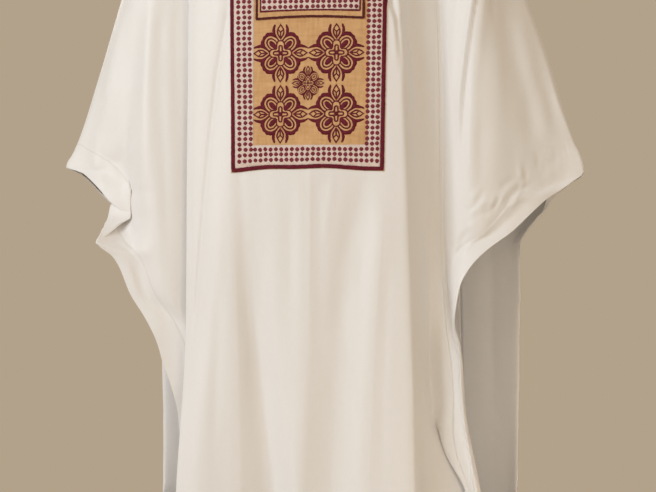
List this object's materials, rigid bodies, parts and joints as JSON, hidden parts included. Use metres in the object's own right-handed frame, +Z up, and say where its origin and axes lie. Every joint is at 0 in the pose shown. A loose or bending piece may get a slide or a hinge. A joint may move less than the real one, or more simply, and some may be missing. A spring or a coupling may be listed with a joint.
{
  "type": "grand boubou robe",
  "caption": "Long loose robe of smooth white cloth in its hollow worn form, with wide open draped sleeves, a v neck and an embroidered chest panel.",
  "frame": {"origin": "middle of the neck opening at the height of the shoulder line, where the wearer's shoulders carry the robe", "axes": "+Z up along the wearer's spine, the front of the robe faces -Y, +X to the viewer's right"},
  "size_m": [0.6949, 0.2857, 1.2737],
  "materials": {
    "white_cloth": "smooth, softly lustrous off-white cotton",
    "embroidered_cloth": "tan woven ground with maroon embroidery",
    "placket_cloth": "maroon dots on a pale ground, framed in maroon",
    "edging": "rolled maroon edging"
  },
  "bodies": {
    "root": {"front_panel": "white_cloth", "back_panel": "white_cloth", "sleeve_left": "white_cloth", "sleeve_right": "white_cloth", "chest_panel": "embroidered_cloth", "neck_placket": "placket_cloth", "neck_binding": "edging"}
  },
  "joints": []
}
